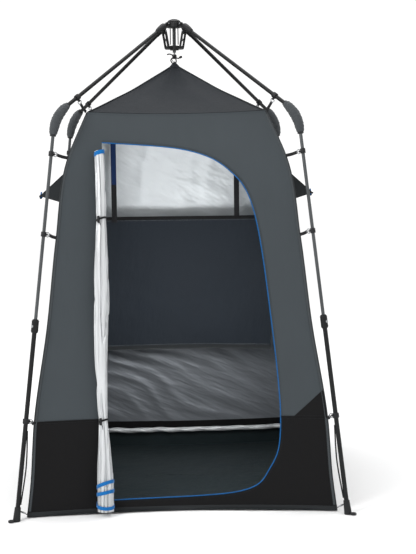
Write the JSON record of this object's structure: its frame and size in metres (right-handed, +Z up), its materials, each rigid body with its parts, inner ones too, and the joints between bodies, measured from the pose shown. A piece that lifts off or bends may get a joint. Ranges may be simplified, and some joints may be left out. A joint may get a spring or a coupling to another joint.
{
  "type": "privacy shower tent",
  "caption": "Pop-up privacy shower tent: square cloth cabin hung inside a folding umbrella frame, with an arched zip doorway, roll-up door, side vents and hanging inner panel.",
  "frame": {"origin": "on the ground, under the middle of the tent", "axes": "+Z up, the doorway faces -Y, +X to the right seen from the front"},
  "size_m": [1.565, 1.565, 2.29],
  "materials": {
    "black_plastic": "satin",
    "black_tube": "satin",
    "grey_tube": "satin",
    "slate_cloth": "matte",
    "roof_cloth": "matte",
    "black_cloth": "matte",
    "navy_cloth": "matte",
    "silver_cloth": "satin",
    "grey_padding": "matte"
  },
  "bodies": {
    "crown": {"crown_hub": "black_plastic", "crown_cap": "black_plastic", "centre_post": "grey_tube", "peak_cord": "black_cloth", "peak_loop": "black_cloth"},
    "slider": {"lower_hub": "black_plastic"},
    "pole_fl": {"roof_pole_fl": "black_tube", "roof_fl": "roof_cloth"},
    "strut_fl": {"strut_fl": "black_plastic"},
    "upper_leg_fl": {"leg_upper_fl": "grey_tube", "elbow_sleeve_fl": "grey_padding", "wall_front_fl": "slate_cloth", "wall_left_fl": "slate_cloth", "door_roll": "silver_cloth", "vent_hood_left": "slate_cloth"},
    "lower_leg_fl": {"leg_lower_fl": "black_tube", "foot_fl": "black_plastic"},
    "lock_fl": {"lock_button_fl": "black_plastic"},
    "floor_fl": {"floor_fl": "black_cloth"},
    "pole_fr": {"roof_pole_fr": "black_tube", "roof_fr": "roof_cloth"},
    "strut_fr": {"strut_fr": "black_plastic"},
    "upper_leg_fr": {"leg_upper_fr": "grey_tube", "elbow_sleeve_fr": "grey_padding", "wall_front_fr": "slate_cloth", "wall_right_fr": "slate_cloth", "vent_hood_right": "slate_cloth"},
    "lower_leg_fr": {"leg_lower_fr": "black_tube", "foot_fr": "black_plastic"},
    "lock_fr": {"lock_button_fr": "black_plastic"},
    "floor_fr": {"floor_fr": "black_cloth"},
    "pole_rl": {"roof_pole_rl": "black_tube", "roof_rl": "roof_cloth"},
    "strut_rl": {"strut_rl": "black_plastic"},
    "upper_leg_rl": {"leg_upper_rl": "grey_tube", "elbow_sleeve_rl": "grey_padding", "wall_rear_rl": "slate_cloth", "wall_left_rl": "slate_cloth", "hanging_panel_rl": "navy_cloth", "panel_strap_rl": "black_cloth", "rear_roll_rl": "silver_cloth"},
    "lower_leg_rl": {"leg_lower_rl": "black_tube", "foot_rl": "black_plastic"},
    "lock_rl": {"lock_button_rl": "black_plastic"},
    "floor_rl": {"floor_rl": "black_cloth"},
    "pole_rr": {"roof_pole_rr": "black_tube", "roof_rr": "roof_cloth"},
    "strut_rr": {"strut_rr": "black_plastic"},
    "upper_leg_rr": {"leg_upper_rr": "grey_tube", "elbow_sleeve_rr": "grey_padding", "wall_right_rr": "slate_cloth", "wall_rear_rr": "slate_cloth", "hanging_panel_rr": "navy_cloth", "panel_strap_rr": "black_cloth", "rear_roll_rr": "silver_cloth"},
    "lower_leg_rr": {"leg_lower_rr": "black_tube", "foot_rr": "black_plastic"},
    "lock_rr": {"lock_button_rr": "black_plastic"},
    "floor_rr": {"floor_rr": "black_cloth"}
  },
  "joints": [
    {"name": "fold", "type": "hinge", "parent": "crown", "child": "pole_fl", "pos_m": [-0.03182, -0.03182, 2.265], "axis": [-0.7071, 0.7071, 0], "range_deg": [0, 116.5], "deforming": ["roof_fl", "elbow_sleeve_fl", "floor_fl", "wall_front_fl", "wall_left_fl", "roof_fr", "elbow_sleeve_fr", "floor_fr", "wall_front_fr", "wall_right_fr", "roof_rl", "elbow_sleeve_rl", "floor_rl", "wall_rear_rl", "wall_left_rl", "roof_rr", "elbow_sleeve_rr", "floor_rr", "wall_right_rr", "wall_rear_rr", "hanging_panel_rl", "panel_strap_rl", "rear_roll_rl", "hanging_panel_rr", "panel_strap_rr", "rear_roll_rr", "door_roll", "vent_hood_left", "vent_hood_right"]},
    {"name": "pole_fr", "type": "hinge", "parent": "crown", "child": "pole_fr", "pos_m": [0.03182, -0.03182, 2.265], "axis": [-0.7071, -0.7071, 0], "range_deg": [0, 116.5]},
    {"name": "pole_rl", "type": "hinge", "parent": "crown", "child": "pole_rl", "pos_m": [-0.03182, 0.03182, 2.265], "axis": [0.7071, 0.7071, 0], "range_deg": [0, 116.5]},
    {"name": "pole_rr", "type": "hinge", "parent": "crown", "child": "pole_rr", "pos_m": [0.03182, 0.03182, 2.265], "axis": [0.7071, -0.7071, 0], "range_deg": [0, 116.5]},
    {"name": "slider_rise", "type": "slide", "parent": "crown", "child": "slider", "axis": [0, 0, 1], "range_m": [0, 0.07611]},
    {"name": "strut_fl", "type": "hinge", "parent": "pole_fl", "child": "strut_fl", "pos_m": [-0.04839, -0.04839, 2.22691], "axis": [-0.7071, 0.7071, 0], "range_deg": [-116.65, 0]},
    {"name": "elbow_fl", "type": "hinge", "parent": "pole_fl", "child": "upper_leg_fl", "pos_m": [-0.54383, -0.54383, 1.80423], "axis": [-0.7071, 0.7071, 0], "range_deg": [-125.29, 0]},
    {"name": "leg_height_fl", "type": "slide", "parent": "upper_leg_fl", "child": "lower_leg_fl", "axis": [0.1081, 0.1081, 0.9882], "range_m": [0, 0.66]},
    {"name": "lock_fl", "type": "slide", "parent": "lower_leg_fl", "child": "lock_fl", "axis": [0.6988, 0.6988, -0.1529], "range_m": [0, 0.0025], "stiffness_N_per_m": 600},
    {"name": "floor_fl", "type": "hinge", "parent": "upper_leg_fl", "child": "floor_fl", "pos_m": [-0.695, -0.695, 0], "axis": [-0.7071, 0.7071, 0], "range_deg": [-81.21, 0]},
    {"name": "strut_fr", "type": "hinge", "parent": "pole_fr", "child": "strut_fr", "pos_m": [0.04839, -0.04839, 2.22691], "axis": [-0.7071, -0.7071, 0], "range_deg": [-116.65, 0]},
    {"name": "elbow_fr", "type": "hinge", "parent": "pole_fr", "child": "upper_leg_fr", "pos_m": [0.54383, -0.54383, 1.80423], "axis": [-0.7071, -0.7071, 0], "range_deg": [-125.29, 0]},
    {"name": "leg_height_fr", "type": "slide", "parent": "upper_leg_fr", "child": "lower_leg_fr", "axis": [-0.1081, 0.1081, 0.9882], "range_m": [0, 0.66]},
    {"name": "lock_fr", "type": "slide", "parent": "lower_leg_fr", "child": "lock_fr", "axis": [-0.6988, 0.6988, -0.1529], "range_m": [0, 0.0025], "stiffness_N_per_m": 600},
    {"name": "floor_fr", "type": "hinge", "parent": "upper_leg_fr", "child": "floor_fr", "pos_m": [0.695, -0.695, 0], "axis": [-0.7071, -0.7071, 0], "range_deg": [-81.21, 0]},
    {"name": "strut_rl", "type": "hinge", "parent": "pole_rl", "child": "strut_rl", "pos_m": [-0.04839, 0.04839, 2.22691], "axis": [0.7071, 0.7071, 0], "range_deg": [-116.65, 0]},
    {"name": "elbow_rl", "type": "hinge", "parent": "pole_rl", "child": "upper_leg_rl", "pos_m": [-0.54383, 0.54383, 1.80423], "axis": [0.7071, 0.7071, 0], "range_deg": [-125.29, 0]},
    {"name": "leg_height_rl", "type": "slide", "parent": "upper_leg_rl", "child": "lower_leg_rl", "axis": [0.1081, -0.1081, 0.9882], "range_m": [0, 0.66]},
    {"name": "lock_rl", "type": "slide", "parent": "lower_leg_rl", "child": "lock_rl", "axis": [0.6988, -0.6988, -0.1529], "range_m": [0, 0.0025], "stiffness_N_per_m": 600},
    {"name": "floor_rl", "type": "hinge", "parent": "upper_leg_rl", "child": "floor_rl", "pos_m": [-0.695, 0.695, 0], "axis": [0.7071, 0.7071, 0], "range_deg": [-81.21, 0]},
    {"name": "strut_rr", "type": "hinge", "parent": "pole_rr", "child": "strut_rr", "pos_m": [0.04839, 0.04839, 2.22691], "axis": [0.7071, -0.7071, 0], "range_deg": [-116.65, 0]},
    {"name": "elbow_rr", "type": "hinge", "parent": "pole_rr", "child": "upper_leg_rr", "pos_m": [0.54383, 0.54383, 1.80423], "axis": [0.7071, -0.7071, 0], "range_deg": [-125.29, 0]},
    {"name": "leg_height_rr", "type": "slide", "parent": "upper_leg_rr", "child": "lower_leg_rr", "axis": [-0.1081, -0.1081, 0.9882], "range_m": [0, 0.66]},
    {"name": "lock_rr", "type": "slide", "parent": "lower_leg_rr", "child": "lock_rr", "axis": [-0.6988, -0.6988, -0.1529], "range_m": [0, 0.0025], "stiffness_N_per_m": 600},
    {"name": "floor_rr", "type": "hinge", "parent": "upper_leg_rr", "child": "floor_rr", "pos_m": [0.695, 0.695, 0], "axis": [0.7071, -0.7071, 0], "range_deg": [-81.21, 0]}
  ],
  "couplings": [
    {"joint": "pole_fr", "follows": "fold", "ratio": 1},
    {"joint": "pole_rl", "follows": "fold", "ratio": 1},
    {"joint": "pole_rr", "follows": "fold", "ratio": 1},
    {"joint": "slider_rise", "follows": "fold", "m_per_rad": 0.037429},
    {"joint": "strut_fl", "follows": "fold", "ratio": -1.0013},
    {"joint": "elbow_fl", "follows": "fold", "ratio": -1.0755},
    {"joint": "floor_fl", "follows": "fold", "ratio": -0.69705},
    {"joint": "strut_fr", "follows": "fold", "ratio": -1.0013},
    {"joint": "elbow_fr", "follows": "fold", "ratio": -1.0755},
    {"joint": "floor_fr", "follows": "fold", "ratio": -0.69705},
    {"joint": "strut_rl", "follows": "fold", "ratio": -1.0013},
    {"joint": "elbow_rl", "follows": "fold", "ratio": -1.0755},
    {"joint": "floor_rl", "follows": "fold", "ratio": -0.69705},
    {"joint": "strut_rr", "follows": "fold", "ratio": -1.0013},
    {"joint": "elbow_rr", "follows": "fold", "ratio": -1.0755},
    {"joint": "floor_rr", "follows": "fold", "ratio": -0.69705}
  ]
}
